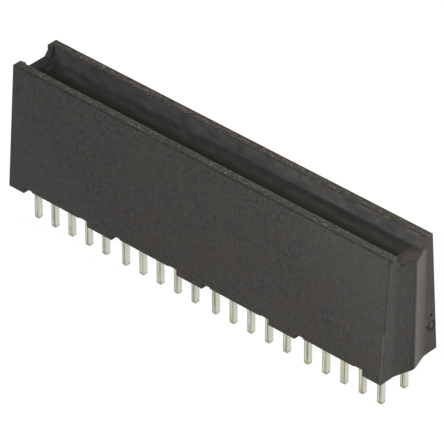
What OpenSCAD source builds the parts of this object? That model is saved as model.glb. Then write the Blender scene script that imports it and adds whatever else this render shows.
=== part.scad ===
// Upright card edge connector: one moulded housing with an open-top card slot,
// and two rows of stamped spring contacts whose square tails pass through a circuit board.
// Millimetres. The board's surface is the plane z = 0, and the connector stands along X.

/* [Contacts] */
// Contacts in one group, between two feet
group_size = 5; // [2:1:7]
// Groups along one row
group_count = 4; // [1:1:4]
// Distance between contacts in a group
contact_pitch = 2.46; // [2:0.02:4]
// Extra distance between two groups, across a foot
group_gap = 0.4; // [0:0.05:2]
// Distance between the two rows of tails
row_spacing = 3.56; // [3.2:0.02:4]
// Side of a square tail
tail_w = 0.6; // [0.4:0.02:0.8]
// Length of the tails below the board's surface
tail_l = 4.6; // [2.5:0.05:8]
// Length of the taper at a tail's tip
tip_l = 0.14; // [0.06:0.02:0.6]
// How far each side of a tail draws in at its tip
tip_in = 0.07; // [0.02:0.01:0.16]
// Width of a contact's shoulder and of the root of its spring
spring_w = 1.1; // [0.8:0.05:1.3]
// Width of the spring at its free end
nose_w = 0.75; // [0.5:0.05:1]
// Thickness of the spring strip
spring_t = 0.32; // [0.2:0.02:0.4]
// Free gap between two facing springs, less than the card's thickness
spring_gap = 1.24; // [0.8:0.02:1.5]
// Height of the line where the spring touches the card, above the slot's floor
touch_h = 4.7; // [3.5:0.1:5]
// Height of the spring's free end above the slot's floor
nose_h = 6.8; // [6:0.1:7.2]
// Distance of the free end's strip from the outer side of its pocket
nose_back = 0.4; // [0.3:0.05:0.8]

/* [Card slot] */
// Width of the slot between the rib tips
card_gap = 1.8; // [1.6:0.05:2.4]
// Height of the slot's floor above the board
floor_h = 3; // [2.4:0.1:4]
// Height of the ribs above the slot's floor
rib_h = 7.5; // [7.3:0.1:9]
// Height of the sloped lead-in on top of the ribs
lead_h = 1.1; // [0.5:0.1:2]
// Width of the slot above the ribs
throat_w = 3.9; // [3.4:0.05:4.1]
// Width of the ledge along each side, near the top of the slot
ledge_w = 0.25; // [0.05:0.05:0.4]
// Depth of the ledge below the rims
ledge_depth = 1.75; // [0.5:0.05:2.5]
// Slot length past the first contact's centre
slot_first = 1.1; // [0.75:0.05:3]
// Slot length past the last contact's centre
slot_last = 0.75; // [0.75:0.05:3]
// Width of each contact's pocket between two ribs
pocket_w = 1.4; // [1.35:0.05:1.6]
// Depth of a pocket into the side wall, behind the slot's side
pocket_depth = 0.4; // [0.3:0.05:0.6]

/* [Housing] */
// Height of the rims above the board
body_h = 14.7; // [13.5:0.1:24]
// Width over the rims
top_w = 6.5; // [6.2:0.1:9]
// Width over the walls at the board
bottom_w = 8.7; // [8:0.1:12]
// Thickness of the end wall beside the first contacts
first_wall = 0.7; // [0.5:0.05:3]
// Thickness of the end wall beside the last contacts
last_wall = 1.25; // [0.5:0.05:3]
// Height of the rims above the end walls
rim_h = 1.22; // [0.4:0.02:3]
// Size of the sloped corners between the end walls and the rims
corner_slope = 0.55; // [0.2:0.05:0.9]
// How far the ridge stands out of the end beside the last contacts
ridge_out = 0.72; // [0.3:0.02:2]
// Width of the ridge where it meets the end
ridge_w = 4.6; // [2:0.1:6]
// Width of the ridge's flat crest
crest_w = 0.24; // [0.1:0.02:1]
// Radius of the hollow blend between the ridge and the end
ridge_blend = 2; // [0.5:0.1:4]
// Radius along the top edges of the ridge
ridge_r = 0.3; // [0.05:0.05:0.6]
// Radius along the outer edges of the rims
rim_r = 0.12; // [0.05:0.01:0.4]
// Radius of the four upright corners
corner_r = 0.1; // [0.05:0.05:0.5]
// Radius along the top edges of the two ends
end_r = 0.1; // [0.05:0.05:0.5]
// Outer diameter of the ring sunk into the end beside the last contacts
mark_d = 1.3; // [0.6:0.05:1.4]
// Width of that ring's line
mark_line = 0.3; // [0.1:0.05:0.5]
// Depth of that ring and of its pip
mark_depth = 0.1; // [0.04:0.02:0.3]
// Height of the ring's centre above the board
mark_h = 3.2; // [2:0.1:6]
// Diameter of the pip above the ring
pip_d = 0.4; // [0.2:0.05:0.6]
// Distance between the ring and the pip
pip_gap = 0.55; // [0.1:0.05:1]

/* [Feet] */
// Height of the feet
foot_h = 0.57; // [0.3:0.01:1.2]
// Length of a foot between two groups
foot_l = 3.6; // [2.6:0.1:5]
// Length of an end foot past the outermost contact's centre, towards the middle
end_foot_in = 0.45; // [0:0.05:1]
// Distance kept between a foot and a tail
tail_room = 0.5; // [0.2:0.05:0.8]
// Length of the shallow relief beside each foot
relief_l = 1.1; // [0.4:0.1:2]
// Depth of that relief above the underside
relief_h = 0.12; // [0.05:0.01:0.4]

/* [Fits] */
// Clearance between a contact and each side of its seat
seat_gap = 0.03; // [0.01:0.01:0.08]
// Depth of a contact's seat below the slot's floor
seat_depth = 1.6; // [1:0.1:1.8]

/* [Hidden] */
// Overrun of a cut past the face that it opens
over = 1;
// Points along each half of a spring's bend
bend_steps = 10;
// Points along the rounding of a rim
rim_steps = 5;
// Points along the blend beside the ridge
blend_steps = 5;
// Sides of a full circle
round_fn = 48;

row_size = group_size * group_count;
group_pitch = group_size * contact_pitch + group_gap;
field_l = (group_count - 1) * group_pitch + (group_size - 1) * contact_pitch;

slot_left = -field_l / 2 - slot_first;
slot_right = field_l / 2 + slot_last;
left_face = slot_left - first_wall;
right_face = slot_right + last_wall;
rib_top = floor_h + rib_h;
wall_top = body_h - rim_h;
trough_w = throat_w + 2 * ledge_w;
corner_rise = min(corner_slope, rim_h);
pocket_y = throat_w / 2 + pocket_depth;
draft = atan((bottom_w - top_w) / 2 / body_h);

row_y = row_spacing / 2;
seat_z = floor_h - seat_depth;
root_y = row_y + tail_w / 2 - spring_t / 2;
root_z = floor_h + tail_w;
touch_y = (spring_gap + spring_t) / 2;
touch_z = floor_h + touch_h;
nose_y = pocket_y - nose_back;
nose_z = floor_h + nose_h;

tip_w = tail_w - 2 * tip_in;
tail_band = row_y + tail_w / 2 + tail_room;
cross_bar = contact_pitch + group_gap - tail_w - 2 * tail_room;

function contact_x(k) =
    (floor(k / group_size) - (group_count - 1) / 2) * group_pitch
    + (k % group_size - (group_size - 1) / 2) * contact_pitch;

function contact_name(row, k) = str("contact_", row, "_", k < 9 ? "0" : "", k + 1);

// Centre line of the spring in the Y-Z plane: up from its root, in to the card, and out again to its nose
function rise(t) = [
    root_y + (touch_y - root_y) * (1 - cos(180 * t)) / 2,
    root_z + (touch_z - root_z) * t
];
function fall(t) = [
    touch_y + (nose_y - touch_y) * (1 - cos(90 * t)),
    touch_z + (nose_z - touch_z) * t
];
spring_line = concat(
    [[root_y, floor_h]],
    [for (i = [0 : bend_steps]) rise(i / bend_steps)],
    [for (i = [1 : bend_steps]) fall(i / bend_steps)]
);

// Unit vector across a line at its point i
function across(line, i) =
    let (a = line[max(i - 1, 0)], b = line[min(i + 1, len(line) - 1)], d = (b - a) / norm(b - a))
    [-d[1], d[0]];

// Points beside a line at distance d, on the side that across() points to
function beside(line, d) = [for (i = [0 : len(line) - 1]) line[i] + across(line, i) * d];

function backwards(list) = [for (i = [len(list) - 1 : -1 : 0]) list[i]];

// Extrudes a Y-Z outline along X, from x = a to x = b
module along_x(a, b) {
    translate([a, 0, 0])
        rotate([90, 0, 90])
            linear_extrude(b - a)
                children();
}

// Contact seen from the end of the connector: a tail with a tapered tip, and the spring above it
module contact_side() {
    inner = beside(spring_line, spring_t / 2);
    outer = beside(spring_line, -spring_t / 2);
    polygon(concat(
        [
            [row_y - tail_w / 2, root_z],
            [row_y - tail_w / 2, tip_l - tail_l],
            [row_y - tip_w / 2, -tail_l],
            [row_y + tip_w / 2, -tail_l],
            [row_y + tail_w / 2, tip_l - tail_l]
        ],
        outer,
        backwards([for (i = [1 : len(inner) - 1]) inner[i]])
    ));
}

// Right half of the contact seen from the front: tail, shoulder and a spring that narrows to its nose
contact_edge = [
    [tip_w / 2, -tail_l],
    [tail_w / 2, tip_l - tail_l],
    [tail_w / 2, seat_z],
    [spring_w / 2, seat_z],
    [spring_w / 2, root_z],
    [nose_w / 2, nose_z + spring_t]
];

module contact_front_view() {
    polygon(concat(contact_edge, backwards([for (p = contact_edge) [-p[0], p[1]]])));
}

// One contact of the rear row, at x = 0
module contact() {
    color([0.8, 0.78, 0.72])
        intersection() {
            along_x(-spring_w, spring_w) contact_side();
            rotate([90, 0, 0])
                linear_extrude(2 * bottom_w, center = true)
                    contact_front_view();
        }
}

module contact_rear(k) {
    translate([contact_x(k), 0, 0])
        contact();
}

module contact_front(k) {
    translate([contact_x(k), 0, 0])
        mirror([0, 1, 0])
            contact();
}

// Right side of the housing's outside, from the board up to its rounded rim
rim_centre = [top_w / 2 - rim_r * (1 - sin(draft)) / cos(draft), body_h - rim_r];
body_edge = concat(
    [[bottom_w / 2, 0]],
    [
        for (i = [0 : rim_steps])
            let (angle = draft + (90 - draft) * i / rim_steps)
            rim_centre + rim_r * [cos(angle), sin(angle)]
    ]
);

module body_section() {
    polygon(concat(body_edge, backwards([for (p = body_edge) [-p[0], p[1]]])));
}

// What a rounding of radius r takes off a square corner at the origin, whose sides run towards -x and -y
module corner_waste(r) {
    translate([-r, -r])
        difference() {
            square(r + over);
            circle(r, $fn = round_fn);
        }
}

// Cuts that round the end at x = face, on the side that out gives
module end_rounding(face, out) {
    translate([face, 0, 0])
        mirror([out < 0 ? 1 : 0, 0, 0]) {
            for (side = [0, 1])
                mirror([0, side, 0])
                    translate([0, bottom_w / 2, 0])
                        rotate([draft, 0, 0])
                            translate([0, 0, -over])
                                linear_extrude(body_h + 3 * over)
                                    corner_waste(corner_r);
            translate([0, 0, body_h])
                rotate([90, 0, 0])
                    linear_extrude(2 * bottom_w, center = true)
                        corner_waste(end_r);
        }
}

// Half of the slot's section, from its floor up through the rims
module slot_half() {
    polygon([
        [-over, floor_h],
        [card_gap / 2, floor_h],
        [card_gap / 2, rib_top - lead_h],
        [throat_w / 2, rib_top],
        [throat_w / 2, body_h - ledge_depth],
        [trough_w / 2, body_h - ledge_depth],
        [trough_w / 2, body_h + over],
        [-over, body_h + over]
    ]);
}

module slot_section() {
    slot_half();
    mirror([1, 0, 0])
        slot_half();
}

// Front half of the ridge's plan: a hollow arc that leaves the end, the slope, and half of the crest
ridge_angle = atan(ridge_out / ((ridge_w - crest_w) / 2));
blend_l = ridge_blend * tan(ridge_angle / 2);
ridge_edge = concat(
    [[right_face - last_wall / 2, -ridge_w / 2 - blend_l]],
    [
        for (i = [0 : blend_steps])
            let (angle = ridge_angle * i / blend_steps)
            [right_face + ridge_blend * (1 - cos(angle)), ridge_blend * sin(angle) - ridge_w / 2 - blend_l]
    ],
    [[right_face + ridge_out, -crest_w / 2]]
);

// Upright ridge on the end beside the last contacts, rounded along its top
module end_ridge() {
    difference() {
        linear_extrude(wall_top)
            polygon(concat(ridge_edge, backwards([for (p = ridge_edge) [p[0], -p[1]]])));
        for (side = [0, 1])
            mirror([0, side, 0])
                translate([right_face + ridge_out, -crest_w / 2, wall_top])
                    rotate([90, 0, -ridge_angle])
                        translate([0, 0, -over])
                            linear_extrude(ridge_w + 2 * over)
                                corner_waste(ridge_r);
    }
}

// Middle of the end's flat behind the ridge, at the height of the mark
mark_y = (ridge_w / 2 + blend_l + bottom_w / 2 - corner_r - mark_h * tan(draft)) / 2;

// Plain ring with a pip above it, sunk into that flat
module end_mark() {
    translate([right_face - mark_depth, mark_y, mark_h])
        rotate([0, 90, 0]) {
            difference() {
                cylinder(d = mark_d, h = mark_depth + over, $fn = round_fn);
                translate([0, 0, -over])
                    cylinder(d = mark_d - 2 * mark_line, h = mark_depth + 3 * over, $fn = round_fn);
            }
            translate([-(mark_d + pip_d) / 2 - pip_gap, 0, 0])
                cylinder(d = pip_d, h = mark_depth + over, $fn = round_fn);
        }
}

// Gaps between the rims above the end walls. On the first end the rims reach in to the slot's throat,
// and the front one narrows to a hook there.
module end_gaps() {
    translate([0, 0, wall_top])
        linear_extrude(rim_h + over) {
            polygon([
                [left_face - over, throat_w / 2],
                [slot_left + over, throat_w / 2],
                [slot_left + over, -throat_w / 2],
                [slot_left, -throat_w / 2],
                [left_face, -trough_w / 2],
                [left_face - over, -trough_w / 2]
            ]);
            translate([slot_right - over, -trough_w / 2])
                square([last_wall + ridge_out + 2 * over, trough_w]);
        }
}

// Sloped corner on an end wall from x = a to x = b, at the foot of a rim whose inner side is at inner_y.
// The last end has one beside each rim, and the first end only beside the rear one.
module rim_corner(a, b, inner_y) {
    along_x(a, b)
        polygon([
            [inner_y - corner_slope, wall_top],
            [inner_y, wall_top + corner_rise],
            [inner_y + ledge_w, wall_top + corner_rise],
            [inner_y + ledge_w, wall_top - corner_slope],
            [inner_y - corner_slope, wall_top - corner_slope]
        ]);
}

// Outside of the housing with the slot and the gaps at its ends
module open_body() {
    difference() {
        union() {
            along_x(left_face, right_face) body_section();
            end_ridge();
        }
        along_x(slot_left, slot_right) slot_section();
        end_gaps();
    }
    rim_corner(left_face, slot_left, throat_w / 2);
    for (side = [0, 1])
        mirror([0, side, 0])
            rim_corner(slot_right, right_face, trough_w / 2);
}

// Pocket shared by two facing contacts, with the seats of both below it
module contact_pocket() {
    translate([-pocket_w / 2, -pocket_y, floor_h])
        cube([pocket_w, 2 * pocket_y, rib_h]);
    for (side = [-1, 1])
        translate([0, side * row_y, 0]) {
            seat_hole(spring_w + 2 * seat_gap, seat_z, floor_h + over);
            seat_hole(tail_w + 2 * seat_gap, -over, seat_z + over / 2);
        }
}

// Square-cornered hole for a contact, w wide along X, from height low to high
module seat_hole(w, low, high) {
    d = tail_w + 2 * seat_gap;
    translate([-w / 2, -d / 2, low])
        cube([w, d, high - low]);
}

// Rectangle from x = a to x = b, wider than the housing
module band(a, b, w = 2 * bottom_w) {
    translate([a, -w / 2])
        square([b - a, w]);
}

// Plan of the feet: one at each end and one between two groups, open around the tails
module feet_plan() {
    edge = field_l / 2 - end_foot_in;
    clear = field_l / 2 + tail_w / 2 + tail_room;
    difference() {
        union() {
            band(left_face - over, -edge);
            band(edge, right_face + ridge_out + over);
            for (x = foot_places())
                band(x - foot_l / 2, x + foot_l / 2);
        }
        band(-clear, clear, 2 * tail_band);
    }
    for (x = foot_places())
        band(x - cross_bar / 2, x + cross_bar / 2);
}

function foot_places() =
    group_count < 2 ? [] : [for (j = [1 : group_count - 1]) (j - group_count / 2) * group_pitch];

// Edges of the open stretches between the feet, as [left, right]
function open_stretches() =
    let (
        places = foot_places(),
        edge = field_l / 2 - end_foot_in,
        lows = concat([-edge], [for (x = places) x + foot_l / 2]),
        highs = concat([for (x = places) x - foot_l / 2], [edge])
    )
    [for (i = [0 : len(lows) - 1]) [lows[i], highs[i]]];

// Everything cut away under the housing between its feet
module underside() {
    translate([0, 0, -over])
        linear_extrude(foot_h + over)
            difference() {
                band(left_face - over, right_face + ridge_out + over);
                feet_plan();
            }
    translate([0, 0, -over])
        linear_extrude(foot_h + relief_h + over)
            difference() {
                for (s = open_stretches()) {
                    band(s[0], s[0] + relief_l);
                    band(s[1] - relief_l, s[1]);
                }
                band(left_face - over, right_face + over, 2 * tail_band);
            }
}

module housing() {
    color([0.2, 0.2, 0.2])
        difference() {
            open_body();
            for (k = [0 : row_size - 1])
                translate([contact_x(k), 0, 0])
                    contact_pocket();
            underside();
            end_mark();
            end_rounding(left_face, -1);
            end_rounding(right_face, 1);
        }
}

housing();
for (k = [0 : row_size - 1]) {
    contact_front(k);
    contact_rear(k);
}
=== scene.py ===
"""Looks of a card edge connector: a moulded black housing with two rows of tinned contacts."""
import math

import bmesh
import bpy
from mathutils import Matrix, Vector


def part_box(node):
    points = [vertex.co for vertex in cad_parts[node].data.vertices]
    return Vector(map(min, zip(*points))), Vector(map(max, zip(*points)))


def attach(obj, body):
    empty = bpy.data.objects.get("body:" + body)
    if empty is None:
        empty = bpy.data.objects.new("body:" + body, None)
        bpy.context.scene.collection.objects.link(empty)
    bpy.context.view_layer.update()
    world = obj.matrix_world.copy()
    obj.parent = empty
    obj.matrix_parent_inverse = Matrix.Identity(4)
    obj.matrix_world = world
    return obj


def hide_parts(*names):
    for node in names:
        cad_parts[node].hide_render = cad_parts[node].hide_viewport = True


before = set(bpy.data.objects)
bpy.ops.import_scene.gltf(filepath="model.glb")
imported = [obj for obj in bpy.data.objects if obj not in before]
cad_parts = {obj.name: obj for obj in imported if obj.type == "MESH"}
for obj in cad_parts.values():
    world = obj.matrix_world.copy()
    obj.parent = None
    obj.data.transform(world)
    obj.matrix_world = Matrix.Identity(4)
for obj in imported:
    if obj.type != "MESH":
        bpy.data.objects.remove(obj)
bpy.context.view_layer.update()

MM = 0.001

# The housing's shape, in millimetres: half the slot's width at the top, the depths of its ledge and
# floor, how far the end walls stay below the rims, the depth at which their sloped corners begin, where
# the rims' outer edges begin, the height of the last end's ridge, the gap between the first contact and
# its end wall, and the reach past the first and the last contact that counts as slot
TROUGH_HALF = 2.2
LEDGE_DEPTH = 1.75
SLOT_DEPTH = 11.7
END_DROP = 1.22
SLOPE_DEPTH = 0.67
RIM_EDGE = 3.02
RIDGE_HEIGHT = 0.72
FIRST_WALL_GAP = 0.55
SLOT_BEFORE_FIRST = 0.4
SLOT_AFTER_LAST = 0.15

# Half of a width that holds the rims' inner edges but not their outer ones
INNER_HALF_Y = 2.5 * MM

# Sizes that follow the frame
housing_low, housing_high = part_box("housing")
first_contact_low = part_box("contact_front_01")[0]
last_contact_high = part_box("contact_front_20")[1]
tail_tip_z = first_contact_low.z
rim_top_z = housing_high.z
slot_low_x = first_contact_low.x - SLOT_BEFORE_FIRST * MM
slot_high_x = last_contact_high.x + SLOT_AFTER_LAST * MM
end_face_x = housing_high.x - RIDGE_HEIGHT * MM
end_top_z = rim_top_z - END_DROP * MM

# The photograph's view: a long lens that looks down on the front and the right end
VIEW_AZIMUTH = math.radians(42.43)
VIEW_ELEVATION = math.radians(35.92)
VIEW_DISTANCE = 515.25 * MM
VIEW_RAISE = 4.32 * MM
VIEW_SIDESTEP = 0.49 * MM
LENS_PIXELS = 5000
FRAME_PIXELS = 444
SENSOR_MM = 36

# Light
WHITE = (1, 1, 1, 1)
WORLD_LEVEL = 0.1
LAMPS = [
    # name, direction towards the lamp, distance and size in metres, power in watts
    ("key_right_rear", (0.5, 0.87, 0.27), 0.45, 0.2, 1.9),
    ("rear_low", (0.15, 1.0, 0.27), 0.45, 0.2, 0.42),
    ("rear_high", (0.1, 1.0, 1.0), 0.45, 0.2, 0.26),
    ("near_right_front", (0.5, -0.65, 0.68), 0.14, 0.05, 0.136),
    ("fill_left_front", (-0.7, -0.7, 0.46), 0.5, 0.2, 0.41),
    ("front_high", (0.1, -1.0, 1.43), 0.5, 0.15, 0.1),
    ("overhead", (0.0, 0.0, 1.0), 0.5, 0.3, 0.5),
]
FLOOR_SIZE = 3.0
FLOOR_GLOW = 0.92
FLOOR_LEVEL = 1.03
FLOOR_COLOUR = (0.9, 0.9, 0.9, 1)
FLOOR_BOUNCE = (0.3, 0.3, 0.3, 1)

# The housing's dressed copy: what counts as flat, as one point and as sharp, its rounded edges with the
# room that they need, and the parts of it that are in sight
FLAT_ANGLE = 0.004
WELD_DISTANCE = 1e-7
SHARP_ANGLE = math.radians(25)
EDGE_WIDTH = 0.07 * MM
EDGE_SEGMENTS = 2
EDGE_PROFILE = 0.5
EDGE_ROOM = 2.5 * EDGE_WIDTH
RIM_END_ROOM = 0.35 * MM
LIP_REACH = 2 * EDGE_WIDTH
TOP_DEPTH = 1.5 * MM
FOOT_TOP = 0.8 * MM
TOUCH = 0.002 * MM

# Notch along the outer edge of each rim: its place and depth
NOTCH_INNER_Y = 3.1 * MM
NOTCH_DROP = 0.12 * MM
NOTCH_ROWS = (0.015 * MM, 0.06 * MM)
NOTCH_DEPTH = 0.05 * MM

# Painted highlight (above 0) or painted shade (below 0) on edges, in the notch and in the sunk marks,
# and how deep the last end's lip and the sunk marks reach
FRONT_LIP_HIGHLIGHT = 0.6
REAR_LIP_SHADE = -0.5
NOTCH_SHADE = -0.65
END_LIP_FRONT_SHADE = -0.85
END_LIP_REAR_SHADE = -1.0
END_LIP_DROP = 0.14 * MM
SUNK_MARK_SHADE = -0.15
SUNK_DEPTH = 0.15 * MM

# The contacts' width in millimetres, and their edges
CONTACT_WIDTH = 1.1
TIN_EDGE_WIDTH = 0.04 * MM
TIN_EDGE_ANGLE = math.radians(40)

# Tints of the plastic, as shares of red, green and blue
NEUTRAL = (1.02, 1.0, 0.92)
PALE = (1.0, 0.99, 0.97)
COOL = (0.94, 1.02, 0.99)
WARM = (1.13, 0.99, 0.80)
RUDDY = (1.22, 0.95, 0.90)
BLUE = (0.93, 0.97, 1.20)
TEAL = (0.82, 1.03, 1.07)
PLUM = (1.13, 0.93, 1.10)
GREENISH = (0.99, 1.02, 0.86)
OLIVE = (1.05, 1.0, 0.82)
MOSS = (0.97, 1.04, 0.62)
BROWN = (1.14, 0.99, 0.80)
RUST = (1.24, 0.98, 0.76)

# Spots in the plastic, each kind laid over those before it
SPOT_DETAIL = 4
SPOT_STEP = (0.33, 0.67)
SPOTS = [
    # width in millimetres, offset of its noise, share, level, tint
    (4.0, 60, 0.45, 0.047, NEUTRAL),
    (1.1, 90, 0.55, 0.052, GREENISH),
    (1.0, 120, 0.40, 0.040, BLUE),
    (0.40, 150, 0.64, 0.021, NEUTRAL),
    (0.32, 180, 0.56, 0.070, NEUTRAL),
]

# Mottling of the slot's sides, each kind laid over those before it
MOTTLE_WIDTH = 1.0
MOTTLE_DETAIL = 4
MOTTLE_STRETCH = (2, 1, 1)
MOTTLE_STEP = (0.45, 0.64, 0.0, 0.7)
SLOT_MOTTLES = [
    # offset of its noise, level, tint
    (190, 0.070, BLUE),
    (250, 0.070, PLUM),
    (270, 0.050, TEAL),
    (310, 0.090, GREENISH),
]

# Relief of the plastic, the wide before the fine, its gloss, and the share of the slot's own shade
RELIEF = [
    # width in millimetres, offset of its noise, depth in millimetres, strength
    (0.8, 30, 0.02, 0.6),
    (0.16, 10, 0.02, 0.8),
]
PLASTIC_GLOSS = 0.2
SLOT_SHADE = 0.7

# Colours of the tin, with its painted highlight, painted shade on its edges and along a line, and its
# side painted lighter; its relief, the range of its roughness and of its brown tips, and its lines: the
# highlight's place across a contact, and how far from their middle the highlight and the shaded line
# begin and are full
TIN_DULL = (0.50, 0.48, 0.39, 1)
TIN_BRIGHT = (0.66, 0.65, 0.56, 1)
TIN_DRAWN = (0.30, 0.28, 0.20, 1)
TIN_OLIVE = (0.52, 0.51, 0.37, 1)
TIN_LEFT_EDGE_SHADE = (0.26, 0.24, 0.16, 1)
TIN_HIGHLIGHT = (0.82, 0.81, 0.72, 1)
TIN_CORNER_SHADE = (0.22, 0.20, 0.13, 1)
TIN_SHADE_LINE = (0.15, 0.13, 0.09, 1)
TIN_SIDE_LIT = (0.66, 0.65, 0.59, 1)
TIN_TIP = (0.20, 0.15, 0.11, 1)
TIN_RELIEF = (0.006, 0.6)
TIN_ROUGHNESS = (0.30, 0.42)
TIN_TIP_SHARES = (0.3, 0.65)
HIGHLIGHT_PLACE = -0.06
HIGHLIGHT_REACH = (0.09, 0.03)
SHADE_LINE_REACH = (0.11, 0.03)

# Patches of noise
ROUND = (1, 1, 1)
PATCHES = {
    # name: width in millimetres, detail, stretch along each axis, offset, the noise at which a share
    # begins to change and at which it is through, and the two shares where they aren't 0 and 1
    "warm": (2.2, 3, ROUND, 20, 0.36, 0.64),
    "flushed": (1.5, 2, ROUND, 170, 0.4, 0.65, 0.0, 0.5),
    "streaked": (0.4, 3, (1, 1, 5), 40, 0.4, 0.7, 0.0, 0.25),
    # Patches of the painted light on the slot's upper sides
    "slot_painted_light": (0.8, 4, (4, 1, 1), 110, 0.25, 0.75, 0.45, 1.0),
    "rim_scuffed": (0.7, 4, (3, 1, 1), 80, 0.3, 0.65, 0.35, 1.0),
    "rim_gritty": (0.35, 3, (2, 1, 1), 220, 0.4, 0.62, 0.0, 0.75),
    "rim_nicked": (0.30, 2, ROUND, 130, 0.58, 0.68, 0.0, 0.7),
    "rim_edge_broken": (0.8, 3, (3, 1, 1), 70, 0.35, 0.6, 0.35, 0.8),
    "end_grain": (0.28, 3, ROUND, 260, 0.35, 0.65, 0.0, 0.28),
    "end_flecks": (0.30, 3, ROUND, 280, 0.45, 0.70, 0.0, 0.24),
    "ridge_streaked": (0.5, 3, (1, 1, 8), 210, 0.3, 0.7, 0.55, 0.8),
    "last_corner_broken": (0.6, 3, ROUND, 240, 0.35, 0.6, 0.3, 0.7),
    "last_lip_broken": (0.5, 3, ROUND, 300, 0.38, 0.58, 0.5, 0.97),
    "first_corner_broken": (0.7, 3, ROUND, 290, 0.35, 0.6, 0.35, 0.75),
    "painted_highlight_broken": (0.9, 3, ROUND, 90, 0.35, 0.65, 0.3, 1.0),
    "painted_shade_broken": (0.6, 3, ROUND, 75, 0.38, 0.6, 0.25, 1.0),
    "plastic_roughness": (0.22, 4, ROUND, 60, 0.3, 0.7, 0.54, 0.66),
    "tin_drawn": (0.10, 2, (1, 1, 30), 0, 0.35, 0.7, 0.0, 0.5),
    "tin_bright": (0.8, 3, ROUND, 15, 0.3, 0.7),
    "tin_highlight_broken": (1.4, 3, (1, 1, 2), 65, 0.4, 0.65, 0.0, 0.7),
    "tin_shade_line_place": (3.0, 0, (1, 1, 9), 55, 0.35, 0.65, 0.0, 0.24),
    "tin_shade_line_broken": (1.2, 3, (1, 1, 2), 35, 0.3, 0.6, 0.2, 0.85),
}

# Places in millimetres for the zones: the first end's outer face and wall, the last end's wall and outer
# face, and the tails' tips
first_face = housing_low.x / MM
first_wall = first_contact_low.x / MM - FIRST_WALL_GAP
last_wall = slot_high_x / MM
last_face = end_face_x / MM
tail_tip = tail_tip_z / MM

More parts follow.
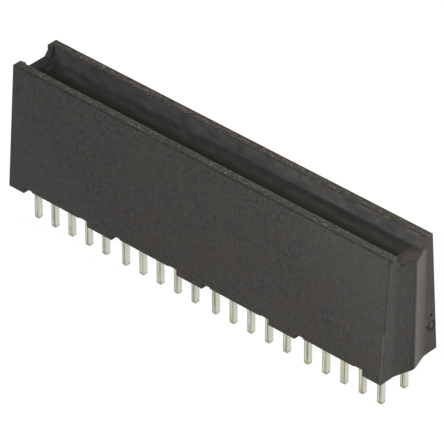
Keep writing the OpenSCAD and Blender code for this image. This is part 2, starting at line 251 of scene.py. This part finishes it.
# Zones, each the product of soft steps. Beside x, y and z a step may go by side, the distance from the
# middle plane, by depth below the rims, by slant, which is x and z together, or by across, which is x
# from a contact's own middle
ZONES = {
    # name: steps, each with its axis, where it begins and ends, and its two shares if not 0 and 1
    # All over the housing
    "warm_side": [("x", -24.0, 2.0, 0.25, 1.0)],
    "flushed_low": [("z", 13.0, 3.0, 0.5, 1.1)],
    # Painted light: lighter towards the last end and its top, and towards the first end low down
    "painted_light_last": [("slant", 21.0, 36.0, 0.0, 0.27)],
    "painted_light_first": [("slant", -9.0, -17.0, 0.0, 0.2)],
    # Inside the slot
    "between_rims": [
        ("side", TROUGH_HALF + 0.05, TROUGH_HALF + 0.02),
        ("x", first_face + 0.02, first_face + 0.15),
        ("depth", SLOT_DEPTH + 0.3, SLOT_DEPTH + 0.1),
    ],
    "last_wall": [("x", last_wall, last_wall + 0.05), ("depth", SLOPE_DEPTH - 0.04, SLOPE_DEPTH)],
    "upper_slot": [("depth", 4.5, 3.5)],
    "slot_neutral": [("x", -20.0, 14.0)],
    "soft_above_ledge": [("x", 14.0, 0.0), ("depth", LEDGE_DEPTH + 0.4, LEDGE_DEPTH - 1.3)],
    "crisp_above_ledge": [("x", 0.0, 14.0), ("depth", LEDGE_DEPTH - 0.02, LEDGE_DEPTH - 0.06)],
    # Painted light on the slot's sides above the ledge, stronger towards the last end
    "slot_painted_light": [("x", -22.0, 26.0, 0.25, 0.95)],
    # Painted light on the slot's upper sides near the first end
    "slot_painted_light_first": [("x", -17.0, -25.0, 0.0, 0.8)],
    # Painted shadow on the slot's sides just below the ledge
    "below_ledge": [
        ("depth", LEDGE_DEPTH - 0.06, LEDGE_DEPTH - 0.02),
        ("depth", 2.9, 1.9),
        ("x", -22.0, 20.0, 0.36, 0.66),
    ],
    "shadow_rusty": [("x", -8.0, 18.0)],
    "deep_slot": [("depth", 2.4, 3.4, 0.0, 0.75)],
    # Rims
    "rim_tops": [("depth", 0.10, 0.02)],
    "rear_half": [("y", -1.0, 1.0)],
    "front_rim_olive": [("x", -20.0, 20.0)],
    "rear_rim_rusty": [("x", -15.0, 15.0)],
    # Where the painted shade on the rear rim's inner part gives way to brown
    "rear_rim_outer": [("y", TROUGH_HALF + 0.05, TROUGH_HALF + 0.45)],
    # Painted shade along the rims' outer edges
    "rim_edges": [("side", RIM_EDGE - 0.1, RIM_EDGE)],
    # The last end, with the ridge
    "last_end": [("x", last_face - 0.2, last_face - 0.1)],
    "last_top": [
        ("side", TROUGH_HALF, TROUGH_HALF - 0.1),
        ("x", last_wall, last_wall + 0.05),
        ("depth", END_DROP - 0.15, END_DROP - 0.05),
        ("depth", END_DROP + 0.12, END_DROP + 0.05, 0.0, 0.65),
    ],
    "ridge": [("x", last_face + 0.02, last_face + 0.10), ("depth", END_DROP + 0.1, END_DROP + 0.25)],
    # Painted highlight on the rear slope behind the crest
    "behind_crest": [("y", 0.0, 0.1), ("y", 2.3, 0.3)],
    # Painted light lower on the ridge's rear slope
    "painted_light_patch": [("y", 0.6, 1.6), ("y", 2.5, 1.9), ("depth", 6.5, 3.5, 0.0, 0.4)],
    # Painted shade on the front side just before the crest
    "before_crest": [("y", -0.5, -0.2), ("y", -0.06, -0.14), ("depth", 5.0, 9.0, 0.3, 0.55)],
    # Painted light, growing towards the front flat
    "front_flank": [("y", -0.7, -1.9, 0.0, 0.2)],
    "rear_flat": [("y", 2.1, 2.5, 0.0, 0.65)],
    # Painted shade and, low down, a painted highlight down the last end's front corner
    "last_corner": [
        ("x", last_face - 0.16, last_face - 0.12),
        ("x", last_face - 0.005, last_face - 0.03),
        ("y", -2.6, -2.8),
    ],
    "last_corner_highlight_low": [("depth", 8.0, 9.5)],
    # Painted shade along the ridge's upper lip
    "last_lip": [
        ("x", last_face - 0.05, last_face - 0.02),
        ("depth", END_DROP + 0.01, END_DROP + 0.03),
        ("depth", END_DROP + 0.26, END_DROP + 0.16),
        ("side", 1.9, 1.6),
    ],
    "last_chip": [
        ("x", last_face - 0.25, last_face - 0.10),
        ("y", -2.70, -2.90),
        ("depth", 0.50, 0.25, 0.0, 0.75),
    ],
    # The first end
    "first_top": [
        ("x", first_wall + 0.05, first_wall),
        ("depth", 0.06, 0.12),
        ("depth", END_DROP + 0.2, END_DROP + 0.1),
        ("side", TROUGH_HALF + 0.1, TROUGH_HALF, 0.0, 0.85),
    ],
    # Painted highlight down the first end's front corner
    "first_corner": [
        ("x", first_face + 0.22, first_face + 0.12),
        ("x", first_face + 0.01, first_face + 0.04),
        ("y", -2.6, -2.8),
    ],
    # Contacts
    "tin_olive": [("x", -6.0, 20.0, 0.0, 0.4)],
    # Painted shade near the contacts' left edges and the corners by their side faces
    "tin_left_edge_shade": [("across", -0.16, -0.26), ("across", -0.295, -0.285), ("x", -6.0, 20.0, 0.35, 0.65)],
    "tin_corner_shade": [("across", 0.19, 0.25), ("across", 0.298, 0.288), ("x", -6.0, 20.0, 0.1, 0.5)],
    "tin_front": [("across", 0.298, 0.288)],
    # The contacts' side faces, painted lighter as if lit
    "tin_side_lit": [("across", 0.290, 0.299, 0.0, 0.7)],
    "tin_tip": [("z", tail_tip + 0.5, tail_tip + 0.1)],
}


def view_axes(azimuth, elevation):
    """Unit vectors right, up and back of a camera that stands at that azimuth and elevation."""
    back = Vector((
        math.sin(azimuth) * math.cos(elevation),
        -math.cos(azimuth) * math.cos(elevation),
        math.sin(elevation),
    ))
    right = Vector((math.cos(azimuth), math.sin(azimuth), 0))
    return right, back.cross(right), back


def aim(obj, target):
    """Turns a camera or a lamp at its place to look at a point."""
    obj.rotation_mode = "QUATERNION"
    obj.rotation_quaternion = (target - obj.location).to_track_quat("-Z", "Y")


def add(name, data):
    """A new object in the scene."""
    obj = bpy.data.objects.new(name, data)
    bpy.context.scene.collection.objects.link(obj)
    return obj


def make_camera():
    right, up, back = view_axes(VIEW_AZIMUTH, VIEW_ELEVATION)
    camera = add("camera", bpy.data.cameras.new("camera"))
    camera.data.sensor_width = SENSOR_MM
    camera.data.lens = LENS_PIXELS / FRAME_PIXELS * SENSOR_MM
    camera.location = back * VIEW_DISTANCE
    aim(camera, up * VIEW_RAISE + right * VIEW_SIDESTEP)
    bpy.context.scene.camera = camera


class Shader:
    """The node tree of one material, with short calls for the nodes that it needs."""

    def __init__(self, name):
        self.material = bpy.data.materials.new(name)
        self.material.use_nodes = True
        self.tree = self.material.node_tree
        self.tree.nodes.clear()
        self.output = self.node("ShaderNodeOutputMaterial")
        self.texture_place = self.node("ShaderNodeTexCoord")
        self.place = self.node("ShaderNodeMapping")
        self.place.inputs["Scale"].default_value = (1 / MM,) * 3
        self.link(self.texture_place.outputs["Object"], self.place.inputs["Vector"])
        self.coordinates = {}

    def node(self, kind, **settings):
        node = self.tree.nodes.new(kind)
        for key, value in settings.items():
            setattr(node, key, value)
        return node

    def link(self, source, target):
        self.tree.links.new(source, target)

    def feed(self, target, value):
        """Sets a socket to a plain value, or links another socket to it."""
        if isinstance(value, bpy.types.NodeSocket):
            self.link(value, target)
        else:
            target.default_value = value

    def math(self, operation, a, b=0.0):
        node = self.node("ShaderNodeMath", operation=operation)
        self.feed(node.inputs[0], a)
        self.feed(node.inputs[1], b)
        return node.outputs["Value"]

    def product(self, first, *others):
        for other in others:
            first = self.math("MULTIPLY", first, other)
        return first

    def mix(self, factor, a, b):
        """Colour a where factor is 0, and colour b where it is 1."""
        node = self.node("ShaderNodeMix", data_type="RGBA")
        self.feed(node.inputs["Factor"], factor)
        self.feed(node.inputs[6], a)
        self.feed(node.inputs[7], b)
        return node.outputs[2]

    def ramp(self, value, low, high, to_low=0.0, to_high=1.0):
        """A value from low to high becomes one from to_low to to_high, with soft ends."""
        node = self.node("ShaderNodeMapRange", interpolation_type="SMOOTHSTEP")
        self.feed(node.inputs["Value"], value)
        node.inputs["From Min"].default_value = low
        node.inputs["From Max"].default_value = high
        node.inputs["To Min"].default_value = to_low
        node.inputs["To Max"].default_value = to_high
        return node.outputs["Result"]

    def noise(self, width, detail=3.0, stretch=ROUND, offset=0.0):
        """Noise from 0 to 1, its features about width millimetres wide times stretch along each axis."""
        mapping = self.node("ShaderNodeMapping")
        mapping.inputs["Location"].default_value = (offset,) * 3
        mapping.inputs["Scale"].default_value = tuple(1 / (width * share) for share in stretch)
        self.link(self.place.outputs["Vector"], mapping.inputs["Vector"])
        noise = self.node("ShaderNodeTexNoise")
        noise.inputs["Scale"].default_value = 1.0
        noise.inputs["Detail"].default_value = detail
        self.link(mapping.outputs["Vector"], noise.inputs["Vector"])
        return noise.outputs["Fac"]

    def patches(self, name):
        """The share of those patches at each place."""
        width, detail, stretch, offset, *step = PATCHES[name]
        return self.ramp(self.noise(width, detail, stretch, offset), *step)

    def zone(self, name):
        """The share of that zone at each place."""
        steps = [self.ramp(self.coordinate(axis), *step) for axis, *step in ZONES[name]]
        return self.product(*steps)

    def coordinate(self, axis):
        """The place along one of the zones' axes, in millimetres."""
        if axis not in self.coordinates:
            self.coordinates[axis] = self.new_coordinate(axis)
        return self.coordinates[axis]

    def new_coordinate(self, axis):
        if axis == "side":
            return self.math("ABSOLUTE", self.coordinate("y"))
        if axis == "depth":
            return self.math("SUBTRACT", rim_top_z / MM, self.coordinate("z"))
        if axis == "slant":
            return self.math("ADD", self.coordinate("x"), self.coordinate("z"))
        if axis == "across":
            share = self.part_of(self.texture_place.outputs["Generated"], "X")
            return self.math("MULTIPLY", self.math("SUBTRACT", share, 0.5), CONTACT_WIDTH)
        return self.part_of(self.place.outputs["Vector"], axis.upper())

    def part_of(self, vector, name):
        node = self.node("ShaderNodeSeparateXYZ")
        self.link(vector, node.inputs["Vector"])
        return node.outputs[name]

    def line(self, place, begin, full):
        """A line along a contact at that place across it, from where it begins to where it is full."""
        distance = self.math("ABSOLUTE", self.math("SUBTRACT", self.coordinate("across"), place))
        return self.ramp(distance, begin, full)

    def attribute(self, name):
        """A number that the mesh holds on its faces."""
        return self.node("ShaderNodeAttribute", attribute_name=name).outputs["Fac"]

    def bump(self, height, depth, strength, normal=None):
        """Relief of that depth in millimetres, on top of another normal."""
        node = self.node("ShaderNodeBump")
        node.inputs["Strength"].default_value = strength
        node.inputs["Distance"].default_value = depth * MM
        self.link(height, node.inputs["Height"])
        if normal:
            self.link(normal, node.inputs["Normal"])
        return node.outputs["Normal"]

    def surface(self, **sockets):
        """Ends the tree in a Principled shader with these sockets."""
        shader = self.node("ShaderNodeBsdfPrincipled")
        for name, value in sockets.items():
            self.feed(shader.inputs[name.replace("_", " ")], value)
        self.link(shader.outputs["BSDF"], self.output.inputs["Surface"])
        return self.material


def tone(level, tint):
    """A linear colour: a grey of that level, times a tint."""
    return (*(level * share for share in tint), 1)


def moulded(s):
    """The plastic's own colour: spotted, streaked, cooler at the first end; painted light at both ends."""
    warm_side = s.zone("warm_side")
    warmth = s.product(warm_side, s.patches("warm"))
    colour = s.mix(warmth, tone(0.036, COOL), tone(0.034, WARM))
    for width, offset, share, level, tint in SPOTS:
        spots = s.ramp(s.noise(width, SPOT_DETAIL, offset=offset), *SPOT_STEP, 0.0, share)
        colour = s.mix(spots, colour, tone(level, tint))
    flush = s.product(warm_side, s.patches("flushed"), s.zone("flushed_low"))
    colour = s.mix(flush, colour, tone(0.046, RUDDY))
    colour = s.mix(s.patches("streaked"), colour, tone(0.060, WARM))
    # Painted light towards the last end and the top of its front corner
    colour = s.mix(s.zone("painted_light_last"), colour, tone(0.085, NEUTRAL))
    # Painted light towards the first end, low down
    return s.mix(s.zone("painted_light_first"), colour, tone(0.085, COOL))


def slot_mask(s):
    """The slot down to its floor, without the last end's wall below the sloped corners."""
    between = s.zone("between_rims")
    return s.math("SUBTRACT", between, s.product(between, s.zone("last_wall")))


def slot_sides(s, colour):
    """Mottled teal and neutral slot sides, painted light above the ledge and a painted shadow below it."""
    slot = slot_mask(s)
    inside = s.product(slot, s.zone("upper_slot"))
    shade = s.mix(s.zone("slot_neutral"), tone(0.054, TEAL), tone(0.057, NEUTRAL))
    colour = s.mix(s.product(inside, SLOT_SHADE), colour, shade)
    above = s.product(inside, s.math("ADD", s.zone("soft_above_ledge"), s.zone("crisp_above_ledge")))
    # Painted light on the sides above the ledge, where the front rim's shadow doesn't reach
    painted_light = s.product(above, s.patches("slot_painted_light"), s.zone("slot_painted_light"))
    colour = s.mix(painted_light, colour, tone(0.135, PALE))
    # Painted light on the upper sides near the first end
    pale = s.product(above, s.zone("slot_painted_light_first"))
    colour = s.mix(pale, colour, tone(0.093, COOL))
    for offset, level, tint in SLOT_MOTTLES:
        mottle = s.ramp(s.noise(MOTTLE_WIDTH, MOTTLE_DETAIL, MOTTLE_STRETCH, offset), *MOTTLE_STEP)
        colour = s.mix(s.product(inside, mottle), colour, tone(level, tint))
    below = s.product(inside, s.zone("below_ledge"))
    shadow = s.mix(s.zone("shadow_rusty"), tone(0.023, TEAL), tone(0.020, RUST))
    colour = s.mix(below, colour, shadow)
    deep = s.product(slot, s.zone("deep_slot"))
    return s.mix(deep, colour, tone(0.055, MOSS))


def rims(s, colour):
    """Scuffed, nicked rims: olive in front, brown behind, painted shade at outer and rear inner edges."""
    on_rim = s.zone("rim_tops")
    at_rear = s.zone("rear_half")
    front = s.mix(s.zone("front_rim_olive"), tone(0.063, GREENISH), tone(0.056, OLIVE))
    brown = s.mix(s.zone("rear_rim_rusty"), tone(0.082, BROWN), tone(0.061, RUST))
    # Painted shade on the rear rim's inner part, which leans away from the rear lamps
    rear = s.mix(s.zone("rear_rim_outer"), tone(0.040, BROWN), brown)
    scuff = s.product(on_rim, s.patches("rim_scuffed"))
    colour = s.mix(scuff, colour, s.mix(at_rear, front, rear))
    grit = s.product(on_rim, s.patches("rim_gritty"))
    colour = s.mix(grit, colour, s.mix(at_rear, tone(0.028, GREENISH), tone(0.028, BROWN)))
    nick = s.product(on_rim, s.patches("rim_nicked"))
    colour = s.mix(nick, colour, tone(0.19, OLIVE))
    # Painted shade along the rims' outer edges
    edge = s.product(on_rim, s.zone("rim_edges"), s.patches("rim_edge_broken"))
    return s.mix(edge, colour, tone(0.032, NEUTRAL))


def last_end(s, colour):
    """The end with the ridge: grainy all over, and brown on top of its wall."""
    on_end = s.zone("last_end")
    grain = s.product(on_end, s.patches("end_grain"))
    colour = s.mix(grain, colour, tone(0.030, NEUTRAL))
    flecks = s.product(on_end, s.patches("end_flecks"))
    colour = s.mix(flecks, colour, tone(0.125, NEUTRAL))
    return s.mix(s.zone("last_top"), colour, tone(0.036, BROWN))


def ridge(s, colour):
    """Ridge: painted light behind the crest and on its front, painted shade before it, a ruddy rear flat.
    """
    on_ridge = s.zone("ridge")
    # Painted highlight behind the crest
    painted_light = s.product(on_ridge, s.zone("behind_crest"), s.patches("ridge_streaked"))
    colour = s.mix(painted_light, colour, tone(0.105, BROWN))
    # Painted light lower on the rear slope
    patch = s.product(on_ridge, s.zone("painted_light_patch"))
    colour = s.mix(patch, colour, tone(0.105, BROWN))
    # Painted shade just before the crest
    crest_shade = s.product(on_ridge, s.zone("before_crest"))
    colour = s.mix(crest_shade, colour, tone(0.028, RUDDY))
    # Painted light on the front slope, growing towards the front flat
    flank = s.product(on_ridge, s.zone("front_flank"))
    colour = s.mix(flank, colour, tone(0.072, NEUTRAL))
    flat = s.product(s.zone("last_end"), s.zone("rear_flat"))
    return s.mix(flat, colour, tone(0.049, RUDDY))


def last_end_edges(s, colour):
    """That end's edges: painted shade and highlight down its front corner, a shaded upper lip, a front
    chip.
    """
    # Painted shade on the front corner's upper part, and a painted highlight low down
    corner = s.product(s.zone("last_corner"), s.patches("last_corner_broken"))
    line = s.mix(s.zone("last_corner_highlight_low"), tone(0.022, NEUTRAL), tone(0.13, OLIVE))
    colour = s.mix(corner, colour, line)
    # Painted shade along the ridge's upper lip, where its top meets the end
    lip = s.product(s.zone("last_lip"), s.patches("last_lip_broken"))
    colour = s.mix(lip, colour, tone(0.012, NEUTRAL))
    return s.mix(s.zone("last_chip"), colour, tone(0.016, NEUTRAL))


def first_end(s, colour):
    """The other end: dark on top of its wall, with a painted highlight down its front corner."""
    colour = s.mix(s.zone("first_top"), colour, tone(0.030, OLIVE))
    # Painted highlight down the front corner
    corner = s.product(s.zone("first_corner"), s.patches("first_corner_broken"))
    return s.mix(corner, colour, tone(0.095, RUDDY))


def painted_edge_lines(s, colour):
    """Painted highlights and painted shade, as broken lines on the edges and faces that the mesh marks."""
    edge_light_and_shade = s.attribute("edge_light_and_shade")
    # Painted highlight where the mesh marks one
    light = s.product(s.ramp(edge_light_and_shade, 0.0, 1.0), s.patches("painted_highlight_broken"))
    colour = s.mix(light, colour, tone(0.115, OLIVE))
    # Painted shade where the mesh marks it
    dark = s.product(s.ramp(edge_light_and_shade, 0.0, -1.0), s.patches("painted_shade_broken"))
    return s.mix(dark, colour, tone(0.020, NEUTRAL))


def plastic_material():
    """Matt black moulding with the marks of its mould, of handling and of wear, and painted light and
    shade.
    """
    s = Shader("moulded_plastic")
    colour = moulded(s)
    for lay_over in (slot_sides, rims, last_end, ridge, last_end_edges, first_end, painted_edge_lines):
        colour = lay_over(s, colour)
    relief = None
    for width, offset, depth, strength in RELIEF:
        relief = s.bump(s.noise(width, offset=offset), depth, strength, relief)
    rough = s.patches("plastic_roughness")
    return s.surface(Base_Color=colour, Roughness=rough, Specular_IOR_Level=PLASTIC_GLOSS, Normal=relief)


def tin_material():
    """Tinned metal: fine lines, a painted highlight, painted shade on edges and a line, a lit side, a brown
    tip.
    """
    s = Shader("tinned_metal")
    drawn = s.patches("tin_drawn")
    bright = s.patches("tin_bright")
    colour = s.mix(bright, TIN_DULL, TIN_BRIGHT)
    colour = s.mix(drawn, colour, TIN_DRAWN)
    colour = s.mix(s.zone("tin_olive"), colour, TIN_OLIVE)
    # Painted shade near the contact's left edge
    colour = s.mix(s.zone("tin_left_edge_shade"), colour, TIN_LEFT_EDGE_SHADE)
    # Painted highlight along the contact
    tin_highlight = s.product(s.line(HIGHLIGHT_PLACE, *HIGHLIGHT_REACH), s.patches("tin_highlight_broken"))
    colour = s.mix(tin_highlight, colour, TIN_HIGHLIGHT)
    # Painted shade near the corner by its side face
    colour = s.mix(s.zone("tin_corner_shade"), colour, TIN_CORNER_SHADE)
    # Painted shade along a line near that corner
    dark = s.line(s.patches("tin_shade_line_place"), *SHADE_LINE_REACH)
    dark = s.product(dark, s.zone("tin_front"), s.patches("tin_shade_line_broken"))
    colour = s.mix(dark, colour, TIN_SHADE_LINE)
    # Painted light on the side face
    colour = s.mix(s.zone("tin_side_lit"), colour, TIN_SIDE_LIT)
    tip = s.product(s.zone("tin_tip"), s.ramp(bright, 0.0, 1.0, *TIN_TIP_SHARES))
    colour = s.mix(tip, colour, TIN_TIP)
    rough = s.ramp(bright, 0.0, 1.0, *TIN_ROUGHNESS)
    return s.surface(Base_Color=colour, Metallic=1.0, Roughness=rough, Normal=s.bump(drawn, *TIN_RELIEF))


def floor_material():
    """Pale and matt, nearly white where it is seen or mirrored, and darker where it lights the part."""
    s = Shader("pale_floor")
    diffuse = s.node("ShaderNodeBsdfDiffuse")
    glow = s.node("ShaderNodeEmission")
    glow.inputs["Color"].default_value = WHITE
    glow.inputs["Strength"].default_value = FLOOR_LEVEL
    path = s.node("ShaderNodeLightPath")
    seen = s.math("MAXIMUM", path.outputs["Is Camera Ray"], path.outputs["Is Glossy Ray"])
    seen = s.math("MAXIMUM", seen, path.outputs["Is Transmission Ray"])
    s.link(s.mix(seen, FLOOR_BOUNCE, FLOOR_COLOUR), diffuse.inputs["Color"])
    mixed = s.node("ShaderNodeMixShader")
    s.link(s.math("MULTIPLY", seen, FLOOR_GLOW), mixed.inputs["Fac"])
    s.link(diffuse.outputs["BSDF"], mixed.inputs[1])
    s.link(glow.outputs["Emission"], mixed.inputs[2])
    s.link(mixed.outputs["Shader"], s.output.inputs["Surface"])
    return s.material


def make_floor():
    mesh = bpy.data.meshes.new("floor")
    half = FLOOR_SIZE / 2
    outline = [(-half, -half), (half, -half), (half, half), (-half, half)]
    mesh.from_pydata([(x, y, tail_tip_z) for x, y in outline], [], [(0, 1, 2, 3)])
    mesh.materials.append(floor_material())
    add("floor", mesh)


def make_light():
    world = bpy.data.worlds.new("studio")
    world.use_nodes = True
    background = world.node_tree.nodes["Background"]
    background.inputs["Color"].default_value = WHITE
    background.inputs["Strength"].default_value = WORLD_LEVEL
    bpy.context.scene.world = world
    for name, direction, distance, size, power in LAMPS:
        lamp = add(name, bpy.data.lights.new(name, "AREA"))
        lamp.data.shape = "DISK"
        lamp.data.size = size
        lamp.data.energy = power
        lamp.location = Vector(direction).normalized() * distance
        aim(lamp, Vector((0, 0, 0)))


def dress_contacts(material):
    """Gives each contact fine rounded edges and its plating."""
    for name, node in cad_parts.items():
        if not name.startswith("contact_"):
            continue
        weld = node.modifiers.new("weld", "WELD")
        weld.merge_threshold = WELD_DISTANCE
        bevel = node.modifiers.new("edges", "BEVEL")
        bevel.width = TIN_EDGE_WIDTH
        bevel.segments = EDGE_SEGMENTS
        bevel.limit_method = "ANGLE"
        bevel.angle_limit = TIN_EDGE_ANGLE
        node.modifiers.new("normals", "WEIGHTED_NORMAL")
        node.material_slots[0].material = material


def cut_across(bm, x):
    """Cuts the upper part of the housing at x, to give the rims' ends room for rounded edges."""
    faces = [face for face in bm.faces if face.calc_center_median().z > rim_top_z - TOP_DEPTH]
    edges = {edge for face in faces for edge in face.edges}
    points = {point for face in faces for point in face.verts}
    bmesh.ops.bisect_plane(
        bm, geom=[*faces, *edges, *points], dist=WELD_DISTANCE, plane_co=(x, 0, 0), plane_no=(1, 0, 0),
    )


def sink_notch(bm, low_x, high_x):
    """A fine notch along the outer edge of each rim, where the two halves of the mould met."""
    bm.normal_update()
    for point in bm.verts:
        drop = rim_top_z - point.co.z
        between = low_x - TOUCH < point.co.x < high_x + TOUCH
        if between and abs(point.co.y) > NOTCH_INNER_Y and NOTCH_ROWS[0] < drop < NOTCH_ROWS[1]:
            point.co -= point.normal * NOTCH_DEPTH


def painted_shade_of(face):
    """The painted shade of a face: in a notch, by the last end's upper edge, in a sunk ring, or 0."""
    middle = face.calc_center_median()
    if abs(middle.y) > NOTCH_INNER_Y and rim_top_z - NOTCH_DROP < middle.z < rim_top_z - TOUCH:
        return NOTCH_SHADE
    on_last_wall = middle.x > slot_high_x and abs(middle.y) < INNER_HALF_Y
    if on_last_wall and 0 < end_top_z - middle.z < END_LIP_DROP:
        return END_LIP_FRONT_SHADE if middle.y < 0 else END_LIP_REAR_SHADE
    on_rear_flat = middle.y > INNER_HALF_Y and middle.z < end_top_z / 2
    if on_rear_flat and end_face_x - SUNK_DEPTH < middle.x < end_face_x - TOUCH:
        return SUNK_MARK_SHADE
    return 0.0


def painted_lip_tone(face):
    """Painted light or shade of a rounded edge, on the rims' inner edges and the last end's upper edge."""
    middle = face.calc_center_median()
    if abs(middle.y) > INNER_HALF_Y:
        return 0.0
    if middle.z > rim_top_z - LIP_REACH:
        return FRONT_LIP_HIGHLIGHT if middle.y < 0 else REAR_LIP_SHADE
    if middle.x > end_face_x - LIP_REACH and middle.z > end_top_z - LIP_REACH:
        return END_LIP_FRONT_SHADE if middle.y < 0 else END_LIP_REAR_SHADE
    return 0.0


def in_sight(point):
    """Whether a point of the housing is on its top, a foot or an end."""
    on_top = point.co.z > rim_top_z - TOP_DEPTH
    on_foot = point.co.z < FOOT_TOP and abs(point.co.y) > INNER_HALF_Y
    on_end = point.co.x < slot_low_x - EDGE_WIDTH or point.co.x > slot_high_x + EDGE_WIDTH
    return on_top or on_foot or on_end


def is_sharp(edge):
    """Whether an edge in sight is an outer one, sharp and long enough for a bevel."""
    if not edge.is_manifold or edge.calc_face_angle_signed() <= SHARP_ANGLE:
        return False
    return edge.calc_length() > EDGE_ROOM and all(in_sight(point) for point in edge.verts)


def edges_to_round(bm):
    """Sharp edges with room for a bevel: none ends at a short edge that isn't rounded too."""
    chosen = {edge for edge in bm.edges if is_sharp(edge)}
    while True:
        tight = {
            edge for edge in chosen
            if any(
                other not in chosen and other.calc_length() < EDGE_ROOM
                for point in edge.verts for other in point.link_edges
            )
        }
        if not tight:
            return list(chosen)
        chosen -= tight


def dress_housing(material):
    """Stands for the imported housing: the same form with fine rounded edges and a notch along its rims."""
    bm = bmesh.new()
    bm.from_mesh(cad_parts["housing"].data)
    bmesh.ops.remove_doubles(bm, verts=bm.verts, dist=WELD_DISTANCE)
    bmesh.ops.dissolve_limit(bm, angle_limit=FLAT_ANGLE, verts=bm.verts, edges=bm.edges)
    # Each face holds its painted highlight (above 0) or painted shade (below 0)
    edge_light_and_shade = bm.faces.layers.float.new("edge_light_and_shade")
    low_x, high_x = housing_low.x + RIM_END_ROOM, slot_high_x - RIM_END_ROOM
    cut_across(bm, low_x)
    cut_across(bm, high_x)
    for face in bm.faces:
        face[edge_light_and_shade] = painted_shade_of(face)
    sink_notch(bm, low_x, high_x)
    rounded = bmesh.ops.bevel(
        bm, geom=edges_to_round(bm), offset=EDGE_WIDTH, offset_type="OFFSET", segments=EDGE_SEGMENTS,
        profile=EDGE_PROFILE, affect="EDGES", clamp_overlap=False,
    )
    for face in rounded["faces"]:
        face[edge_light_and_shade] = painted_lip_tone(face)
    mesh = bpy.data.meshes.new("moulded_housing")
    bm.to_mesh(mesh)
    bm.free()
    mesh.materials.append(material)
    housing = add("moulded_housing", mesh)
    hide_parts("housing")
    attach(housing, "root")


make_camera()
make_floor()
make_light()
dress_housing(plastic_material())
dress_contacts(tin_material())

view_settings = bpy.context.scene.view_settings
view_settings.view_transform = "Standard"
